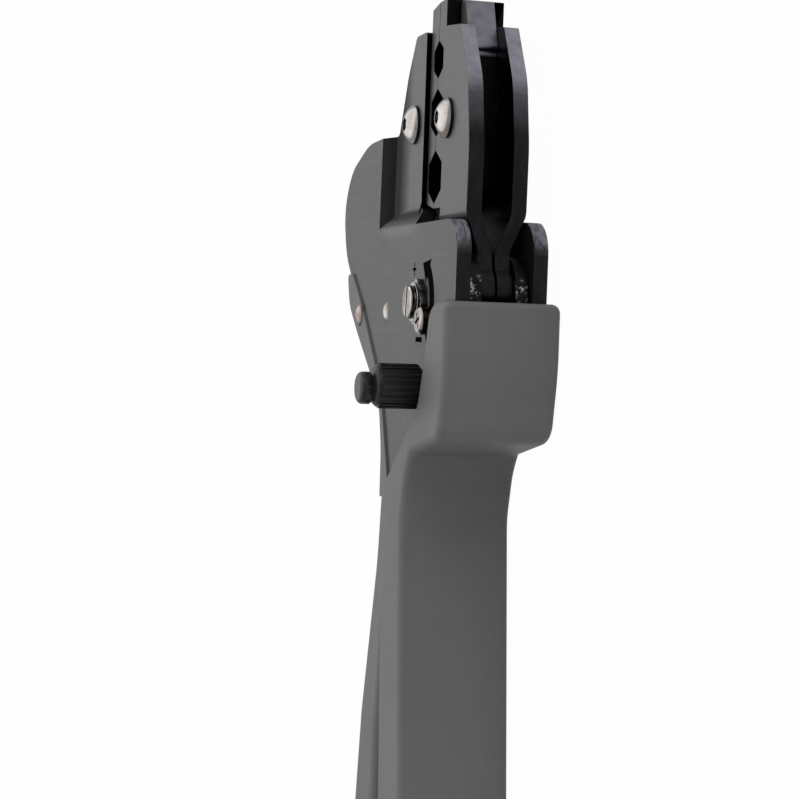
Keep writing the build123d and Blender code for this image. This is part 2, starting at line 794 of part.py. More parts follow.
def moving_grip(arm):
    """Moulded grip with a deep guard that wraps the front of the head."""
    outline = rounded_face([
        (guard_front_x, guard_top_y, 1.2),
        (guard_front_x + 0.2, -50.0, 40.0),
        (27.6, -63.4, 5.0),
        (8.7, -67.2, 2.2),
        (5.6, -71.6, 12.0),
        (3.2, -80.5, 12.0),
        (9.2, -135.0, 100.0),
        (12.8, -170.0, 60.0),
        (10.5, grip_end_y, 6.5),
        (-3.6, grip_end_y, 5.5),
        (-5.4, -165.0, 80.0),
        (-10.3, -108.0, 60.0),
        (-10.3, -73.4, 2.8),
        (11.7, -57.4, 8.0),
        (15.2, -49.0, 20.0),
        (18.4, guard_top_y, 5.0),
    ])
    body = slab(outline, -grip_half_width, grip_half_width)
    sides = body.faces().filter_by(Axis.Z)
    body = fillet(sides.edges(), grip_edge_radius)
    hollow = slab(rounded_face([
        (guard_inner_front_x, -30.0, 0),
        (guard_inner_front_x, -50.0, 20.0),
        (25.8, -61.4, 3.0),
        (9.6, -64.6, 4.0),
        (2.6, -70.6, 3.0),
        (1.8, grip_solid_top_y, 1.5),
        (-20.0, grip_solid_top_y, 0),
        (-20.0, -30.0, 0),
    ]), -hollow_half_width, hollow_half_width)
    body -= hollow
    return body - [arm, mirrored(arm)]


def build_pieces():
    """Every piece by its node name; a list is a group of loose solids of one kind."""
    plate_left = frame_plate_left()
    plate_plain = frame_plate()
    arm = handle_arm()
    jaw = jaw_plate()
    pin_end = arm_outer
    sleeve_radius = small_rivet_radius + sleeve_wall
    return {
        "frame_plate_left": plate_left,
        "frame_plate_right": mirrored(plate_plain),
        "fixed_die": fixed_die(),
        "fixed_die_screw": button_screw(
            fixed_screw_place, pressed_outer, -pressed_outer - die_nut_height, die_screw_radius,
            button_head_radius, button_head_height, button_socket_width, button_socket_depth),
        "fixed_die_nut": hex_nut(fixed_screw_place, die_nut_width, -pressed_outer - die_nut_height,
                                 -pressed_outer, die_screw_radius),
        "moving_die": moving_die(),
        "moving_die_screw": button_screw(
            moving_screw_place, jaw_outer, -jaw_outer - die_nut_height, die_screw_radius,
            button_head_radius, button_head_height, button_socket_width, button_socket_depth),
        "moving_die_nut": hex_nut(moving_screw_place, die_nut_width, -jaw_outer - die_nut_height,
                                  -jaw_outer, die_screw_radius),
        "jaw_plate_left": jaw,
        "jaw_plate_right": mirrored(jaw),
        "spring_stud": spring_stud(),
        "main_pivot_pin": pivot_pin(),
        "pivot_spacers": pivot_spacers(),
        "adjuster_star_wheel": star_wheel(),
        "pivot_cap_screw": pivot_cap_screw(),
        "adjuster_lock_screw": lock_screw(),
        "handle_arm_left": arm,
        "handle_arm_right": mirrored(arm),
        "jaw_handle_pin": disc(handle_pivot, handle_pin_radius, -pin_end, pin_end),
        "knee_pin": disc(knee, knee_pin_radius, -pin_end, pin_end),
        "toggle_link": toggle_link(),
        "toggle_frame_pin": disc(frame_pivot, frame_pin_radius, -plate_outer, plate_outer),
        "ratchet_sector": ratchet_sector(),
        "sector_rivets": sector_rivets(),
        "ratchet_pawl": ratchet_pawl(),
        "knob_shaft": knob_shaft(),
        "knob_washer": knob_washer(),
        "release_knob": release_knob(),
        "knob_cap": knob_cap(),
        "rear_rivet": dome_rivet(rear_rivet_place, rear_rivet_radius, rear_head_radius,
                                 rear_head_height, tail_half_width),
        "rear_rivet_sleeve": sleeve(rear_rivet_place, rear_rivet_radius, sleeve_wall),
        "small_rivet": dome_rivet(small_rivet_place, small_rivet_radius, small_head_radius,
                                  small_head_height, plate_outer),
        "small_rivet_sleeve": sleeve(small_rivet_place, small_rivet_radius, sleeve_wall),
        "return_spring": extension_spring(
            spring_hook_place, spring_stud_radius + return_wire * 2, small_rivet_place,
            sleeve_radius + return_wire * 2, -arm_inner - 1.2, return_coil_radius, return_wire,
            return_turns),
        "pawl_spring": extension_spring(
            pawl_tail_end(), pawl_stud_radius + pawl_wire * 2, small_rivet_place,
            sleeve_radius + pawl_wire * 2, arm_outer - 0.8, pawl_coil_radius, pawl_wire,
            pawl_turns),
        "fixed_grip": fixed_grip(plate_plain),
        "moving_grip": moving_grip(arm),
    }


def as_shape(piece):
    """One shape for export from a solid or from a list of solids."""
    solids = []
    for item in piece if isinstance(piece, list) else [piece]:
        solids.extend(item.solids())
    return solids[0] if len(solids) == 1 else Compound(solids)


pieces = {name: as_shape(piece) for name, piece in build_pieces().items()}
whole = Compound(list(pieces.values())).bounding_box()
origin_shift = Vector(-(whole.min.X + whole.max.X) / 2, -(whole.min.Y + whole.max.Y) / 2,
                      -whole.min.Z)
os.makedirs("parts", exist_ok=True)
for name, piece in pieces.items():
    export_step(Pos(origin_shift) * piece, f"parts/{name}.step")
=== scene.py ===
"""Coaxial crimping tool: finishes, die screws, wound springs, adjuster marks, floor, lamps and camera."""
import json
import math

import bmesh
import bpy
from mathutils import Matrix, Vector


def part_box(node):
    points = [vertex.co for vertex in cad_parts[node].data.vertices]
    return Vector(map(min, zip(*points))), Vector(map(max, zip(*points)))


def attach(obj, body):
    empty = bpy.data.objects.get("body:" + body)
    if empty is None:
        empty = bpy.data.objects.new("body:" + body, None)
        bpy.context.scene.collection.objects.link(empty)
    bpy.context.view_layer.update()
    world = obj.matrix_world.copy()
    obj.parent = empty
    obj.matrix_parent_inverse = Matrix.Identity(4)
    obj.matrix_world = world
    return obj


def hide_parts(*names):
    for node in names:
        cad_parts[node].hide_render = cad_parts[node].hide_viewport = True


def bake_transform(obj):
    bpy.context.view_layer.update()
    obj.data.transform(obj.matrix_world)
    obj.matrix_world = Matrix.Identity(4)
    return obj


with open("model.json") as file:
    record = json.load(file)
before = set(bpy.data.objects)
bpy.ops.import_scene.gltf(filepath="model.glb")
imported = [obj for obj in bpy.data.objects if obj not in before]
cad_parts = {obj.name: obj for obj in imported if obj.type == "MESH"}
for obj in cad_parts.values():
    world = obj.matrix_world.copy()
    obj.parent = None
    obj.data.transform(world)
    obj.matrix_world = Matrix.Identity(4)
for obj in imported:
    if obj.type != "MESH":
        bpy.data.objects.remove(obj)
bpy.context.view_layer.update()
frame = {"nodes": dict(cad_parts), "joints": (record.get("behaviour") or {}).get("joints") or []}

MM = 0.001

# Places in the tool's own millimetres: X 0 the parting line, Y 0 the middle cavity, Z 0 the middle
ADJUSTER_PIVOT = (4.4, -37.6)
SMALL_RIVET = (-22.3, -39.4)
joint_places = {joint["name"]: Vector(joint["pos_m"]) for joint in frame["joints"]}
tool_origin = joint_places["jaw_swing"] - Vector((*ADJUSTER_PIVOT, 0)) * MM


def at(x, y, z):
    """A place in the tool's millimetres as a point of the frame."""
    return tool_origin + Vector((x, y, z)) * MM


# Shader expressions
class Value:
    """One output of a shader, so that number patterns can be written as sums and products."""

    def __init__(self, nodes, socket):
        self.nodes = nodes
        self.socket = socket

    def math(self, operation, *terms):
        return self.nodes.node("ShaderNodeMath", {"operation": operation}, dict(enumerate(terms)))

    def __add__(self, other):
        return self.math("ADD", self, other)

    __radd__ = __add__

    def __sub__(self, other):
        return self.math("SUBTRACT", self, other)

    def __rsub__(self, other):
        return self.math("SUBTRACT", other, self)

    def __mul__(self, other):
        return self.math("MULTIPLY", self, other)

    __rmul__ = __mul__

    def __abs__(self):
        return self.math("ABSOLUTE", self)

    def sign(self):
        return self.math("SIGN", self)

    def larger(self, other):
        """The larger of two patterns at each place."""
        return self.math("MAXIMUM", self, other)


class Nodes:
    """The nodes of a material or of the world."""

    def __init__(self, tree):
        self.tree = tree

    def node(self, kind, settings=None, inputs=None, output=0):
        """Adds a node: its settings first, then the values or links of its sockets."""
        made = self.tree.nodes.new(kind)
        for name, value in (settings or {}).items():
            setattr(made, name, value)
        for name, value in (inputs or {}).items():
            self.feed(made.inputs[name], value)
        return Value(self, made.outputs[output])

    def feed(self, socket, value):
        if isinstance(value, Value):
            self.tree.links.new(value.socket, socket)
        else:
            socket.default_value = value


class Finish(Nodes):
    """A material and the pattern nodes behind its surface."""

    def __init__(self, name):
        self.material = bpy.data.materials.new(name)
        self.material.use_nodes = True
        super().__init__(self.material.node_tree)
        self.surface = self.tree.nodes["Principled BSDF"]

    def set(self, **inputs):
        """Sets or links sockets of the surface, named in capitals and spaces as Blender has them."""
        for name, value in inputs.items():
            self.feed(self.surface.inputs[name.replace("_", " ")], value)

    def coordinates(self, scale):
        """Object coordinates stretched by a scale for each axis, in pattern cells per metre."""
        place = self.node("ShaderNodeTexCoord", output="Object")
        return self.node("ShaderNodeMapping", inputs={"Vector": place, "Scale": scale})

    def noise(self, scale, detail=3.0, roughness=0.55, distortion=0.0):
        return self.node("ShaderNodeTexNoise", inputs={
            "Vector": self.coordinates(scale), "Scale": 1.0, "Detail": detail,
            "Roughness": roughness, "Distortion": distortion})

    def fade(self, amount, low, high, to_low=0.0, to_high=1.0):
        """A pattern's stretch from low to high as a mask."""
        return self.node("ShaderNodeMapRange", {"clamp": True}, {
            "Value": amount, "From Min": low, "From Max": high, "To Min": to_low, "To Max": to_high})

    def axis(self, kind, letter):
        """One axis of the object coordinates, or of the surface's own direction in them."""
        whole = self.node("ShaderNodeTexCoord", output=kind)
        return self.node("ShaderNodeSeparateXYZ", inputs={0: whole}, output=letter)

    def mix(self, amount, first, second):
        return self.node("ShaderNodeMix", {"data_type": "RGBA"},
                         {0: amount, 6: first, 7: second}, output=2)

    def bump(self, height, strength, depth):
        return self.node("ShaderNodeBump", inputs={
            "Height": height, "Strength": strength, "Distance": depth})


def grey(level, warmth=0.0):
    """An almost neutral colour: warmth above 0 is brown, below 0 is blue."""
    return (level * (1 + warmth), level, level * (1 - warmth), 1.0)


def violet(level):
    """The faint blue-violet of thick oxide."""
    return (level * 1.01, level * 0.97, level * 1.13, 1.0)


def off_middle(finish):
    """How far above the tool's middle plane a place lies, in metres."""
    return finish.axis("Object", "Z") - tool_origin.z


def outward_of(finish):
    """How squarely a surface faces away from the tool's middle plane, on either side."""
    return finish.axis("Normal", "Z") * off_middle(finish).sign()


def between(finish, letter, low, high, to_low=0.0, to_high=1.0):
    """Mask that runs along one axis of the tool from one place, in its millimetres, to another."""
    ends = [getattr(at(place, place, place), letter.lower()) for place in (low, high)]
    return finish.fade(finish.axis("Object", letter), *ends, to_low, to_high)


# Where the painted shadows, sheen, highlights and glints fade in or out, in the tool's millimetres
PRESSED_DEPTH = (7.4, 9.1)
UPRIGHT_BEND_X = (-22.4, -14.2)
UPRIGHT_BEND_DARKNESS = 0.97
FOOT_BEND_Y = (-19.2, -18.4)
FOOT_BEND_DARKNESS = 0.85
CREST_TOP_Y = (-21.6, -22.4)
CREST_FOOT_Y = (-24.6, -23.2)
CREST_FRONT_X = (4, -8)
CREST_BACK_X = (-30, -24)
SHOULDER_X = (14, 10)
SHOULDER_Y = (-24, -22)
JAW_HIGHLIGHT_Y = (-5.5, 2)
CORNER_HIGHLIGHT_X = (12, 20)
CORNER_HIGHLIGHT_Y = (-32, -26)
TONGUE_HIGHLIGHT_X = (5.5, 6.5)
TONGUE_HIGHLIGHT_Y = (10.2, 10.8)
TONGUE_HIGHLIGHT_SHARE = 0.7
ARM_END_LOW_Y = (-38, -36)
ARM_END_HIGH_Y = (-32.2, -33.6)


def bend_shadow(finish):
    """Painted shadow on the pressed-in part of the frame, darkest by its two bends and fading away from them.
    """
    sunk = finish.fade(abs(off_middle(finish)), *[depth * MM for depth in PRESSED_DEPTH], 1.0, 0.0)
    along = between(finish, "X", *UPRIGHT_BEND_X, UPRIGHT_BEND_DARKNESS, 0.0)
    foot = between(finish, "Y", *FOOT_BEND_Y, FOOT_BEND_DARKNESS, 0.0)
    return sunk * along.larger(foot)


def crest_sheen(finish):
    """Painted sheen on the plate just below the bend."""
    below = between(finish, "Y", *CREST_TOP_Y) * between(finish, "Y", *CREST_FOOT_Y)
    return below * between(finish, "X", *CREST_FRONT_X) * between(finish, "X", *CREST_BACK_X)


def shoulder_shade(finish):
    """Painted shade on the edge of the frame's shoulder, beside the jaw plates."""
    return between(finish, "X", *SHOULDER_X) * between(finish, "Y", *SHOULDER_Y)


def tip_facing_highlight(finish, low, high):
    """Painted highlight on edges that face the tip, more and more from one height of the tool up to another.
    """
    facing = finish.fade(finish.axis("Normal", "Y"), 0.04, 0.5)
    return facing * between(finish, "Y", low, high)


def jaw_edge_highlight(finish):
    """Painted highlight on the jaw plates' edges near their tips."""
    return tip_facing_highlight(finish, *JAW_HIGHLIGHT_Y)


def corner_highlight(finish):
    """Painted highlight on the round front corner, broken into streaks."""
    highlight_streaks = finish.noise((420.0, 420.0, 1700.0), detail=4.0, roughness=0.7)
    corner = tip_facing_highlight(finish, *CORNER_HIGHLIGHT_Y) * between(finish, "X", *CORNER_HIGHLIGHT_X)
    return corner * finish.fade(highlight_streaks, 0.4, 0.64, 0.35, 1.5)


def tongue_highlight(finish):
    """Painted highlight on the front of the tongue above its step."""
    return TONGUE_HIGHLIGHT_SHARE * between(finish, "Y", *TONGUE_HIGHLIGHT_Y) * between(finish, "X", *TONGUE_HIGHLIGHT_X)


def ground_steel(share, warmth=0.0):
    """Belt-ground steel under its thin oxide, lighter or darker by a share."""
    return grey(0.112 * share, warmth)


def even(cells):
    """The same number of pattern cells per metre along each axis."""
    return (cells, cells, cells)


# Colours of the steel, its oxide and its nickel plate, and of the painted shade, sheen, highlights and glints
# on them
GROUND_DARK = ground_steel(0.8, -0.012)
GROUND_LIGHT = ground_steel(1.16, -0.008)
STREAK_AND_SHEEN_STEEL = ground_steel(1.45)
CLOUD_OXIDE = ground_steel(0.74, -0.02)
BLOOM_OXIDE = ground_steel(1.3)
RIM_HIGHLIGHT_STEEL = ground_steel(1.25)
BEND_SLOPE_SHADE = grey(0.007)
# Near black, both for the oxide of inward faces and for the painted shadow of the pressed corner
OXIDE_AND_SHADE_BLACK = grey(0.004)
SHOULDER_SHADE_BLACK = grey(0.003)
# Violet grey of the painted highlight on edges that face the tip
HIGHLIGHT_VIOLET = violet(0.24)
GLINT_STEEL = grey(0.4)
WORN_STEEL = grey(0.42, 0.03)
BRIGHT_NICKEL = (0.6, 0.565, 0.54, 1.0)
STAINED_NICKEL = (0.34, 0.3, 0.275, 1.0)
COPPERY_NICKEL = (0.34, 0.24, 0.2, 1.0)
SIDE_SHADE = (0.05, 0.045, 0.04, 1.0)
STAIN_SPREAD = 0.25

# Streaks have this share of the scratches' cells. Relief depths and the grip's seam are in metres
STREAK_SCALE = 0.25
FINE_RELIEF = 0.03 * MM
WORN_RELIEF = 0.04 * MM
GRAIN_RELIEF = 0.05 * MM
SEAM_WIDTH = 0.22 * MM


def black_oxide(name, edge_level, scratches, highlight_places, bent=False):
    """Black oxide: belt-ground grey on the outer sides, near black on sheared edges and inside.

    highlight_places gives the mask of the edges that get a painted highlight. A bent plate also has a painted
    shadow in its pressed corner, a painted sheen below its bend and painted shade beside its jaw plates.
    """
    finish = Finish(name)
    outward = outward_of(finish)
    # Faces tilted towards the tip count with the ground sides and take their lighter colour, a painted light
    flat = finish.fade(outward + 0.35 * finish.axis("Normal", "Y"), 0.93, 0.99)
    # Painted shade on the sloped faces of a bend
    bend = finish.fade(outward, 0.8, 0.86) * (1 - flat)
    rim = finish.fade(outward, 0.25, 0.45) * finish.fade(outward, 0.62, 0.74, 1.0, 0.0)
    inside = finish.fade(outward, -0.9, -0.5, 1.0, 0.0)
    lines = finish.noise(scratches, detail=4.0, roughness=0.7)
    shear = finish.noise((700.0, 260.0, 700.0), detail=4.0)
    cloud = finish.noise((80.0, 55.0, 80.0), detail=3.0)
    bloom = finish.noise(even(420.0), detail=4.0, roughness=0.6)
    streaks = finish.noise([cells * STREAK_SCALE for cells in scratches], detail=3.0, roughness=0.6)
    tone = finish.fade(lines, 0.3, 0.7)
    ground = finish.mix(tone, GROUND_DARK, GROUND_LIGHT)
    ground = finish.mix(finish.fade(streaks, 0.5, 0.68, 0.0, 0.35), ground, STREAK_AND_SHEEN_STEEL)
    ground = finish.mix(finish.fade(cloud, 0.5, 0.78, 0.0, 0.4), ground, CLOUD_OXIDE)
    ground = finish.mix(finish.fade(bloom, 0.62, 0.8, 0.0, 0.35), ground, BLOOM_OXIDE)
    sheared = finish.mix(finish.fade(shear, 0.4, 0.75), grey(edge_level), violet(edge_level * 1.5))
    # Painted highlight on the edges that face the tip
    wear_and_highlight = highlight_places(finish) * finish.fade(bloom, 0.25, 0.6, 0.6, 1.0)
    sheared = finish.mix(wear_and_highlight, sheared, HIGHLIGHT_VIOLET)
    # The bend's slopes take the painted shade
    sheared = finish.mix(bend, sheared, BEND_SLOPE_SHADE)
    painted_shadow = 0.0
    if bent:
        painted_shadow = bend_shadow(finish)
        # Painted sheen just below the bend
        ground = finish.mix(crest_sheen(finish), ground, STREAK_AND_SHEEN_STEEL)
        # Painted shadow in the pressed corner, mixed to near black
        ground = finish.mix(painted_shadow, ground, OXIDE_AND_SHADE_BLACK)
        # Painted shade on the shoulder's edge beside the jaw plates
        sheared = finish.mix(shoulder_shade(finish), sheared, SHOULDER_SHADE_BLACK)
    base = finish.mix(flat, sheared, ground)
    # Painted highlight along the broken edges
    rim_highlight = rim * finish.fade(bloom, 0.35, 0.6, 0.15, 0.6)
    base = finish.mix(rim_highlight, base, RIM_HIGHLIGHT_STEEL)
    base = finish.mix(inside, base, OXIDE_AND_SHADE_BLACK)
    finish.set(Base_Color=base, Metallic=1 - 0.45 * flat - 0.55 * painted_shadow,
               Roughness=0.36 + 0.1 * tone + 0.08 * bloom - 0.04 * (1 - flat) + 0.5 * painted_shadow,
               Normal=finish.bump(lines * flat + shear * (1 - flat), 0.25, FINE_RELIEF))
    return finish.material


def inner_oxide(name, level, glinting_end=False):
    """Oxide on the pieces inside the frame, dark and oily. The arms' round ends have painted glints."""
    finish = Finish(name)
    speck = finish.noise((1000.0, 1000.0, 900.0), detail=4.0, roughness=0.7)
    film = finish.noise(even(160.0), detail=3.0)
    base = finish.mix(finish.fade(film, 0.4, 0.7), grey(level), violet(level * 1.6))
    if glinting_end:
        # Painted glints on the arms' round ends
        end = between(finish, "Y", *ARM_END_LOW_Y) * between(finish, "Y", *ARM_END_HIGH_Y)
        base = finish.mix(end * finish.fade(speck, 0.53, 0.62), base, GLINT_STEEL)
    finish.set(Base_Color=base, Metallic=0.9, Roughness=0.3 + 0.2 * film,
               Normal=finish.bump(speck, 0.2, FINE_RELIEF))
    return finish.material


def worn_wheel(name):
    """The star wheel: oxide that fingers and the lock screw have worn through to bright steel."""
    finish = Finish(name)
    worn = finish.noise(even(500.0), detail=5.0, roughness=0.65)
    fine = finish.noise(even(2400.0), detail=2.0)
    bright = finish.fade(worn, 0.38, 0.52) * finish.fade(outward_of(finish), 0.15, 0.6, 0.12, 1.0)
    finish.set(Base_Color=finish.mix(bright, grey(0.03), WORN_STEEL), Metallic=1.0,
               Roughness=0.24 + 0.14 * fine, Normal=finish.bump(worn, 0.2, WORN_RELIEF))
    return finish.material


def nickel(name, roughness=0.13, rim=(0.1, 0.5), stained_from=0.42, stained=STAINED_NICKEL):
    """Nickel plate with the soft swirls that tumbling leaves, and painted shade round the sides of the heads.

    rim is how far a surface turns outward where the painted shade ends and where the plate is bright.
    """
    finish = Finish(name)
    swirl = finish.noise(even(900.0), detail=4.0)
    stain = finish.noise(even(260.0), detail=3.0)
    bright = finish.mix(finish.fade(stain, stained_from, stained_from + STAIN_SPREAD), BRIGHT_NICKEL, stained)
    # Painted shade on the sides of the heads
    base = finish.mix(finish.fade(outward_of(finish), *rim), SIDE_SHADE, bright)
    finish.set(Base_Color=base, Metallic=1.0, Roughness=roughness + 0.12 * swirl,
               Normal=finish.bump(swirl, 0.08, FINE_RELIEF))
    return finish.material


def spring_wire(name):
    """Drawn spring wire."""
    finish = Finish(name)
    lines = finish.noise(even(2600.0), detail=2.0)
    finish.set(Base_Color=finish.mix(lines, grey(0.32), grey(0.46, 0.02)), Metallic=1.0,
               Roughness=0.26 + 0.14 * lines)
    return finish.material


def ribbed_plastic(name, level, end_level):
    """Black moulded plastic of the knob, glossy on the ribs and lighter on the ends that face outward."""
    finish = Finish(name)
    bloom = finish.noise(even(700.0), detail=4.0)
    sides = finish.mix(finish.fade(bloom, 0.4, 0.8), grey(level), grey(level * 1.9))
    # Ends that face outward are lighter
    ends = finish.fade(outward_of(finish), 0.2, 0.7) * finish.fade(bloom, 0.2, 0.6, 0.7, 1.0)
    finish.set(Base_Color=finish.mix(ends, sides, grey(end_level)),
               Roughness=0.24 + 0.2 * bloom, Specular_IOR_Level=0.3,
               Normal=finish.bump(bloom, 0.12, WORN_RELIEF))
    return finish.material


def grip_plastic(name):
    """Grey moulded grip: spark-eroded grain, faint flow marks, a parting line and places worn lighter."""
    finish = Finish(name)
    grain = finish.noise(even(3400.0), detail=2.0, roughness=0.5)
    flow = finish.noise((34.0, 11.0, 34.0), detail=3.0, distortion=0.8)
    wear = finish.noise((180.0, 120.0, 180.0), detail=5.0, roughness=0.65)
    seam = finish.fade(abs(off_middle(finish)), 0.0, SEAM_WIDTH, 1.0, 0.0)
    base = finish.mix(finish.fade(flow, 0.35, 0.7), grey(0.155, -0.006), grey(0.174, -0.002))
    wear_and_highlight = finish.mix(finish.fade(wear, 0.52, 0.8, 0.0, 0.5), base, grey(0.198, -0.004))
    finish.set(Base_Color=wear_and_highlight, Roughness=0.56 + 0.1 * wear - 0.06 * flow, Specular_IOR_Level=0.35,
               Normal=finish.bump(grain + 0.25 * wear + 1.5 * seam, 0.24, GRAIN_RELIEF))
    return finish.material


def print_black(name):
    """Pad-printed marks, a little broken by the ground lines under them."""
    finish = Finish(name)
    worn = finish.noise((1500.0, 5200.0, 1500.0), detail=3.0)
    finish.set(Base_Color=finish.mix(finish.fade(worn, 0.5, 0.9), grey(0.004), grey(0.016)),
               Roughness=0.9, Specular_IOR_Level=0.0)
    return finish.material


# The finishes, with the grinding lines of each steel in cells per metre
ACROSS = (240.0, 5200.0, 5200.0)
ALONG = (5200.0, 240.0, 5200.0)
PLATE_EDGE_LEVEL = 0.014
DIE_EDGE_LEVEL = 0.005
INNER_LEVEL = 0.006
KNOB_LEVEL = 0.006
OUTER_RIM = (0.8, 0.93)
frame_oxide = black_oxide("black_oxide_frame", PLATE_EDGE_LEVEL, ACROSS, corner_highlight, bent=True)
jaw_oxide = black_oxide("black_oxide_jaw", PLATE_EDGE_LEVEL, ACROSS, jaw_edge_highlight)
die_oxide = black_oxide("black_oxide_die", DIE_EDGE_LEVEL, ALONG, tongue_highlight)
inside_oxide = inner_oxide("black_oxide_inside", INNER_LEVEL)
arm_oxide = inner_oxide("black_oxide_arm", INNER_LEVEL, glinting_end=True)
wheel_steel = worn_wheel("black_oxide_wheel")
nickel_plate = nickel("nickel_plate")
rivet_nickel = nickel("nickel_rivet", rim=OUTER_RIM)
rear_nickel = nickel("nickel_rear", roughness=0.2, rim=OUTER_RIM, stained_from=0.34, stained=COPPERY_NICKEL)
wire_steel = spring_wire("spring_wire")
knob_black = ribbed_plastic("knob_plastic", KNOB_LEVEL, end_level=0.04)
cap_black = ribbed_plastic("cap_plastic", KNOB_LEVEL, end_level=0.075)
grip_grey = grip_plastic("grip_plastic")
mark_black = print_black("mark_print")

node_finishes = {
    "frame_plate_left": frame_oxide, "frame_plate_right": frame_oxide,
    "jaw_plate_left": jaw_oxide, "jaw_plate_right": jaw_oxide,
    "fixed_die": die_oxide, "moving_die": die_oxide,
    "fixed_die_screw": nickel_plate, "moving_die_screw": nickel_plate,
    "fixed_die_nut": nickel_plate, "moving_die_nut": nickel_plate,
    "spring_stud": inside_oxide, "main_pivot_pin": nickel_plate, "pivot_spacers": nickel_plate,
    "adjuster_star_wheel": wheel_steel, "pivot_cap_screw": nickel_plate,
    "adjuster_lock_screw": nickel_plate, "handle_arm_left": arm_oxide,
    "handle_arm_right": arm_oxide, "jaw_handle_pin": nickel_plate, "knee_pin": nickel_plate,
    "toggle_link": inside_oxide, "toggle_frame_pin": inside_oxide, "ratchet_sector": inside_oxide,
    "sector_rivets": nickel_plate, "ratchet_pawl": inside_oxide, "knob_shaft": nickel_plate,
    "knob_washer": inside_oxide, "release_knob": knob_black, "knob_cap": cap_black,
    "rear_rivet": rear_nickel, "rear_rivet_sleeve": inside_oxide, "small_rivet": rivet_nickel,
    "small_rivet_sleeve": inside_oxide, "return_spring": wire_steel, "pawl_spring": wire_steel,
    "fixed_grip": grip_grey, "moving_grip": grip_grey,
}

# Width of the broken edge left on each kind of piece, in millimetres
PLATE_EDGE = 0.18
DIE_EDGE = 0.12
FINE_EDGE = 0.08
node_edges = {
    "frame_plate_left": PLATE_EDGE, "frame_plate_right": PLATE_EDGE,
    "jaw_plate_left": PLATE_EDGE, "jaw_plate_right": PLATE_EDGE,
    "fixed_die": DIE_EDGE, "moving_die": DIE_EDGE,
    "handle_arm_left": PLATE_EDGE, "handle_arm_right": PLATE_EDGE,
    "adjuster_star_wheel": FINE_EDGE, "pivot_cap_screw": FINE_EDGE, "adjuster_lock_screw": FINE_EDGE,
}
# Edges sharper than the first angle stay sharp, and faces within the second count as one flat side
SMOOTH_ANGLE = math.radians(34)
FLAT_ANGLE = math.radians(0.5)
WELD_DISTANCE = 0.002 * MM
LARGE_FACE_WEIGHT = 60


def dress(node):
    """Gives a piece its finish, and its edges the small break that tumbling leaves."""
    piece = frame["nodes"][node]
    piece.data.materials.clear()
    piece.data.materials.append(node_finishes[node])
    weld = piece.modifiers.new("weld", "WELD")
    weld.merge_threshold = WELD_DISTANCE
    edge = node_edges.get(node)
    if edge:
        flat = piece.modifiers.new("flat", "DECIMATE")
        flat.decimate_type = "DISSOLVE"
        flat.angle_limit = FLAT_ANGLE
        broken = piece.modifiers.new("edge", "BEVEL")
        broken.limit_method = "ANGLE"
        broken.angle_limit = SMOOTH_ANGLE
        broken.width = edge * MM
        broken.segments = 2
        broken.use_clamp_overlap = True
    normals = piece.modifiers.new("normals", "WEIGHTED_NORMAL")
    normals.keep_sharp = True
    normals.weight = LARGE_FACE_WEIGHT


for node in node_finishes:
    dress(node)


# New pieces
WIRE_SIDES = 8


def linked(name, mesh, finish):
    """Makes a finished bmesh an object of the scene."""
    data = bpy.data.meshes.new(name)
    mesh.to_mesh(data)
    mesh.free()
    data.materials.append(finish)
    piece = bpy.data.objects.new(name, data)
    bpy.context.scene.collection.objects.link(piece)
    return piece


def new_piece(name, mesh, finish):
    """Makes a finished bmesh a piece of the tool, closed and with its normals outward."""
    bmesh.ops.remove_doubles(mesh, verts=mesh.verts, dist=WELD_DISTANCE)
    open_ends = [edge for edge in mesh.edges if edge.is_boundary]
    bmesh.ops.holes_fill(mesh, edges=open_ends, sides=WIRE_SIDES)
    bmesh.ops.recalc_face_normals(mesh, faces=mesh.faces)
    piece = linked(name, mesh, finish)
    return piece


def edges_of(verts):
    """The edges that meet these points, each once and always in the same order."""
    return list(dict.fromkeys(edge for vert in verts for edge in vert.link_edges))


def move_new(mesh, made, height):
    """Moves the points that an extrusion made up or down."""
    points = [part for part in made["geom"] if isinstance(part, bmesh.types.BMVert)]
    bmesh.ops.translate(mesh, verts=points, vec=(0, 0, height))


def make_smooth(mesh):
    """Shades every face smooth."""
    for face in mesh.faces:
        face.smooth = True


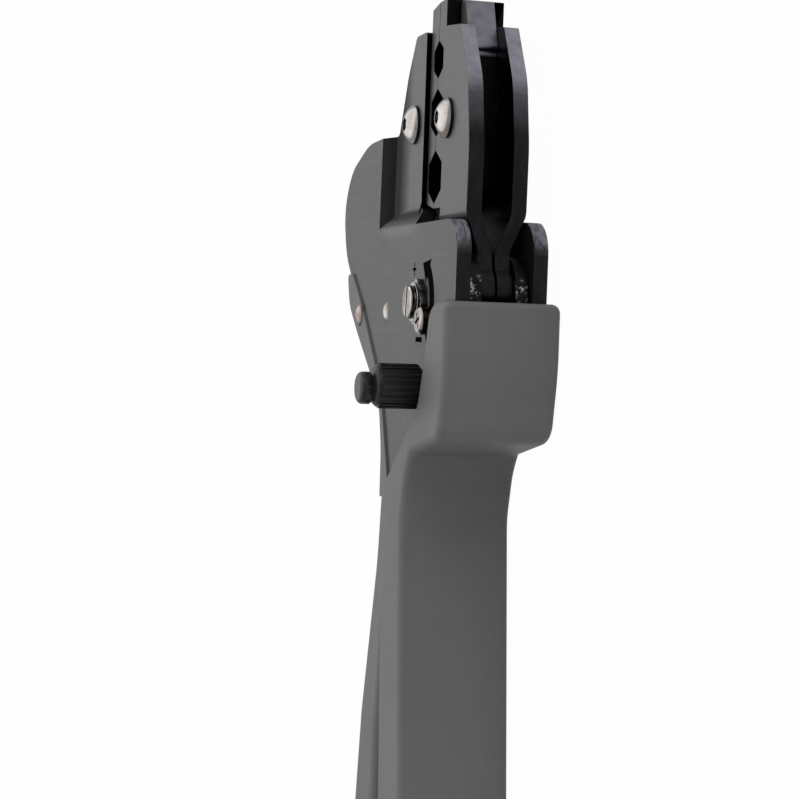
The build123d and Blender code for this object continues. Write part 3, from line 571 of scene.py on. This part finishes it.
# Domed screws of the dies
def domed_screw(node):
    """Button screw of a die: thin upright rim, spherical dome, hexagonal socket, shank to its nut."""
    head_height, rim_height, crown_radius = 2.3 * MM, 0.6 * MM, 1.62 * MM
    shank_radius, socket_corner, socket_depth = 2.0 * MM, 1.44 * MM, 1.4 * MM
    round_steps, dome_steps, socket_sides = 48, 7, 6
    low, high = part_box(node)
    head_radius = (high.x - low.x) / 2
    seat = Vector(((low.x + high.x) / 2, (low.y + high.y) / 2, high.z - head_height))
    rise = head_height ** 2 - rim_height ** 2 + crown_radius ** 2 - head_radius ** 2
    centre = rise / (2 * (head_height - rim_height))
    rim_angle = math.atan2(head_radius, rim_height - centre)
    crown_angle = math.atan2(crown_radius, head_height - centre)
    mesh = bmesh.new()
    rim = mesh.verts.new((head_radius, 0, rim_height))
    bmesh.ops.spin(mesh, geom=[rim], cent=(0, 0, centre), axis=(0, -1, 0),
                   angle=rim_angle - crown_angle, steps=dome_steps, use_duplicate=False)
    foot = rim
    for radius, height in ((head_radius, 0), (shank_radius, 0), (shank_radius, low.z - seat.z)):
        below = mesh.verts.new((radius, 0, height))
        mesh.edges.new((foot, below))
        foot = below
    bmesh.ops.spin(mesh, geom=mesh.verts[:] + mesh.edges[:], cent=(0, 0, 0), axis=(0, 0, 1),
                   angle=math.tau, steps=round_steps, use_merge=True, use_duplicate=False)
    bmesh.ops.remove_doubles(mesh, verts=mesh.verts, dist=WELD_DISTANCE)
    open_rings = [edge for edge in mesh.edges if edge.is_boundary]
    shank_end = [edge for edge in open_rings if edge.verts[0].co.z < 0]
    crown = [edge for edge in open_rings if edge.verts[0].co.z > 0]
    bmesh.ops.edgeloop_fill(mesh, edges=shank_end)
    mouth = bmesh.ops.create_circle(mesh, segments=socket_sides, radius=socket_corner,
                                    matrix=Matrix.Translation((0, 0, head_height)))
    mouth_ring = edges_of(mouth["verts"])
    bmesh.ops.bridge_loops(mesh, edges=crown + mouth_ring)
    move_new(mesh, bmesh.ops.extrude_edge_only(mesh, edges=mouth_ring), -socket_depth)
    bmesh.ops.translate(mesh, verts=mesh.verts, vec=seat)
    make_smooth(mesh)
    for edge in mesh.edges:
        edge.smooth = edge.calc_face_angle(0) < SMOOTH_ANGLE
    piece = new_piece(node + "_head", mesh, nickel_plate)
    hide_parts(node)
    return piece


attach(domed_screw("fixed_die_screw"), "frame")
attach(domed_screw("moving_die_screw"), "moving_jaw")


# Wound springs: steps of one turn, and how far a turn climbs in wire radii
TURN_STEPS = 14
COIL_PITCH = 2.15


def wind(mesh, place, axis, radius, wire, turns=1, pitch=0.0):
    """Round wire wound about an axis from a place: a flat ring, or a coil where it has a pitch."""
    before = set(mesh.verts)
    upright = Matrix.Translation((radius, 0, 0)) @ Matrix.Rotation(math.pi / 2, 4, "X")
    start = bmesh.ops.create_circle(mesh, segments=WIRE_SIDES, radius=wire, matrix=upright)["verts"]
    bmesh.ops.spin(mesh, geom=start + edges_of(start), cent=(0, 0, 0), axis=(0, 0, 1),
                   dvec=(0, 0, pitch / TURN_STEPS), angle=turns * math.tau,
                   steps=turns * TURN_STEPS, use_merge=pitch == 0, use_duplicate=False)
    made = [vert for vert in mesh.verts if vert not in before]
    make_smooth(mesh)
    turned = axis.to_track_quat("Z", "Y").to_matrix().to_4x4()
    bmesh.ops.transform(mesh, matrix=Matrix.Translation(place) @ turned, verts=made)


def rod(mesh, start, end, radius):
    """Straight round wire between two places."""
    line = end - start
    turned = line.to_track_quat("Z", "Y").to_matrix().to_4x4()
    bmesh.ops.create_cone(mesh, cap_ends=True, segments=WIRE_SIDES, radius1=radius, radius2=radius,
                          depth=line.length,
                          matrix=Matrix.Translation((start + end) / 2) @ turned)


def hooked_spring(node, stud, stud_eye, rivet_eye, height, coil_radius, wire):
    """Close-wound spring from the small rivet of the frame to the stud that pulls it.

    The stud's place, the radii of the two eyes, the coil and the wire, and the spring's height
    are in the tool's millimetres.
    """
    hook = at(*stud, height)
    post = at(*SMALL_RIVET, height)
    line = (post - hook).normalized()
    lead = 2 * coil_radius
    coil_start = hook + line * (stud_eye + lead) * MM
    coil_end = post - line * (rivet_eye + lead) * MM
    length = (coil_end - coil_start).length
    turns = round(length / (wire * COIL_PITCH * MM))
    mesh = bmesh.new()
    wind(mesh, coil_start, line, coil_radius * MM, wire * MM, turns, length / turns)
    across = line.to_track_quat("Z", "Y") @ Vector((coil_radius * MM, 0, 0))
    hooks = ((hook, stud_eye, coil_start, line), (post, rivet_eye, coil_end, -line))
    for centre, eye, inner, away in hooks:
        wind(mesh, centre, Vector((0, 0, 1)), eye * MM, wire * MM)
        rod(mesh, centre + away * eye * MM, inner, wire * MM)
        rod(mesh, inner, inner + across, wire * MM)
    piece = new_piece(node + "_coil", mesh, wire_steel)
    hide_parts(node)
    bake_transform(piece)


hooked_spring("return_spring", stud=(-3.6, -43.6), stud_eye=1.74, rivet_eye=2.64,
              height=-4.5, coil_radius=1.15, wire=0.32)
hooked_spring("pawl_spring", stud=(2.7, -52.8), stud_eye=1.2, rivet_eye=2.5,
              height=5.0, coil_radius=0.8, wire=0.25)


# Marks beside the adjuster
def bar_mark(mesh, place, length, width, turn=0.0):
    """One straight printed stroke."""
    shape = (Matrix.Translation((place[0] * MM, place[1] * MM, 0)) @ Matrix.Rotation(turn, 4, "Z")
             @ Matrix.Diagonal((length * MM, width * MM, 1, 1)))
    bmesh.ops.create_grid(mesh, x_segments=1, y_segments=1, size=0.5, matrix=shape)


def round_adjuster(mesh, radius, turn):
    """A point at a distance in millimetres and an angle from the adjuster's middle."""
    return mesh.verts.new((radius * math.cos(turn) * MM, radius * math.sin(turn) * MM, 0))


def adjuster_marks():
    """Curved arrow beside the star wheel, with a plus and a minus, on the left frame plate."""
    inner_radius, outer_radius, head_half_width = 6.2, 9.2, 2.9
    arc_start, arc_end, head_sweep = math.radians(-60), math.radians(52), math.radians(34)
    arc_steps = 20
    plus_place, plus_length, plus_width = (-5.6, 6.6), 2.6, 0.5
    minus_place, minus_length, minus_width = (-0.8, -7.3), 4.6, 1.0
    print_thickness = 0.02
    mesh = bmesh.new()
    ends = [round_adjuster(mesh, radius, arc_start) for radius in (inner_radius, outer_radius)]
    edge = mesh.edges.new(ends)
    bmesh.ops.spin(mesh, geom=ends + [edge], cent=(0, 0, 0), axis=(0, 0, 1),
                   angle=arc_end - arc_start, steps=arc_steps, use_duplicate=False)
    middle = (inner_radius + outer_radius) / 2
    corners = ((middle - head_half_width, arc_end), (middle + head_half_width, arc_end),
               (middle, arc_end + head_sweep))
    mesh.faces.new([round_adjuster(mesh, radius, turn) for radius, turn in corners])
    for turn in (0.0, math.pi / 2):
        bar_mark(mesh, plus_place, plus_length, plus_width, turn)
    bar_mark(mesh, minus_place, minus_length, minus_width)
    bmesh.ops.recalc_face_normals(mesh, faces=mesh.faces)
    move_new(mesh, bmesh.ops.extrude_face_region(mesh, geom=mesh.faces[:]), print_thickness * MM)
    plate_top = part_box("frame_plate_left")[1][2]
    seat = at(*ADJUSTER_PIVOT, 0)
    bmesh.ops.translate(mesh, verts=mesh.verts, vec=(seat.x, seat.y, plate_top))
    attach(new_piece("adjuster_marks", mesh, mark_black), "frame")


adjuster_marks()


# Floor, lamps and camera
FLOOR_SIZE = 3.0
FLOOR_GAP = 0.15 * MM
FLOOR_WHITENESS = 0.975
SURROUND_STRENGTH = 0.38
TOOL_HEAD = at(0, -40, 0)


def floor_finish():
    """Pale floor that the camera and reflections see as white, with the tool's soft shadow."""
    finish = Finish("floor_paper")
    seen = finish.node("ShaderNodeLightPath", output="Is Camera Ray")
    for ray in ("Is Glossy Ray", "Is Transmission Ray"):
        seen = seen.larger(finish.node("ShaderNodeLightPath", output=ray))
    white = finish.node("ShaderNodeEmission", inputs={"Color": grey(1.0), "Strength": 1.0})
    lit = finish.node("ShaderNodeBsdfDiffuse", inputs={"Color": grey(0.8)})
    shown = finish.node("ShaderNodeMixShader", inputs={0: FLOOR_WHITENESS, 1: lit, 2: white})
    surface = finish.node("ShaderNodeMixShader", inputs={0: seen, 1: lit, 2: shown})
    finish.feed(finish.tree.nodes["Material Output"].inputs["Surface"], surface)
    return finish.material


def floor():
    """The floor, a hair below the tool so that the two never share a plane."""
    mesh = bmesh.new()
    bmesh.ops.create_grid(mesh, x_segments=1, y_segments=1, size=FLOOR_SIZE,
                          matrix=Matrix.Translation((0, 0, -FLOOR_GAP)))
    linked("floor", mesh, floor_finish())


def looking(place, direction, up):
    """A lamp's or camera's placing, from where it stands, where it looks and which way is up."""
    back = -direction.normalized()
    right = up.cross(back).normalized()
    rise = back.cross(right)
    turned = Matrix((right, rise, back)).transposed().to_4x4()
    return Matrix.Translation(place) @ turned


def lamp(name, place, size, power):
    """A round soft lamp that looks at the tool's head."""
    light = bpy.data.lights.new(name, "AREA")
    light.shape = "DISK"
    light.size = size
    light.energy = power
    piece = bpy.data.objects.new(name, light)
    piece.matrix_world = looking(place, TOOL_HEAD - place, Vector((0.0, 1.0, 0.1)))
    bpy.context.scene.collection.objects.link(piece)


def surround():
    """Even pale light from all round, which the camera sees as white."""
    world = bpy.data.worlds.new("surround")
    world.use_nodes = True
    nodes = Nodes(world.node_tree)
    seen = nodes.node("ShaderNodeLightPath", output="Is Camera Ray")
    pale = nodes.node("ShaderNodeBackground",
                      inputs={"Color": grey(1.0, -0.01), "Strength": SURROUND_STRENGTH})
    white = nodes.node("ShaderNodeBackground", inputs={"Color": grey(1.0), "Strength": 1.0})
    shown = nodes.node("ShaderNodeMixShader", inputs={0: seen, 1: pale, 2: white})
    nodes.feed(nodes.tree.nodes["World Output"].inputs["Surface"], shown)
    bpy.context.scene.world = world


def camera():
    """The photograph's view, from in front of the handles and a little above, turned upright."""
    data = bpy.data.cameras.new("camera")
    data.sensor_width = 36.0
    data.sensor_fit = "HORIZONTAL"
    data.lens = 85.5
    data.clip_start = 0.01
    piece = bpy.data.objects.new("camera", data)
    direction = Vector((-0.9647, -0.0380, -0.2599))
    up = Vector((-0.0457, 0.9987, 0.0238))
    piece.matrix_world = looking(at(363.4, -42.6, 109.2), direction, up)
    bpy.context.scene.collection.objects.link(piece)
    bpy.context.scene.camera = piece


floor()
lamp("side_softbox", at(-420, 120, 760), size=1.7, power=6.45)
lamp("tip_softbox", at(500, 640, 120), size=0.8, power=2.0)
surround()
camera()
bpy.context.scene.view_settings.view_transform = "Standard"
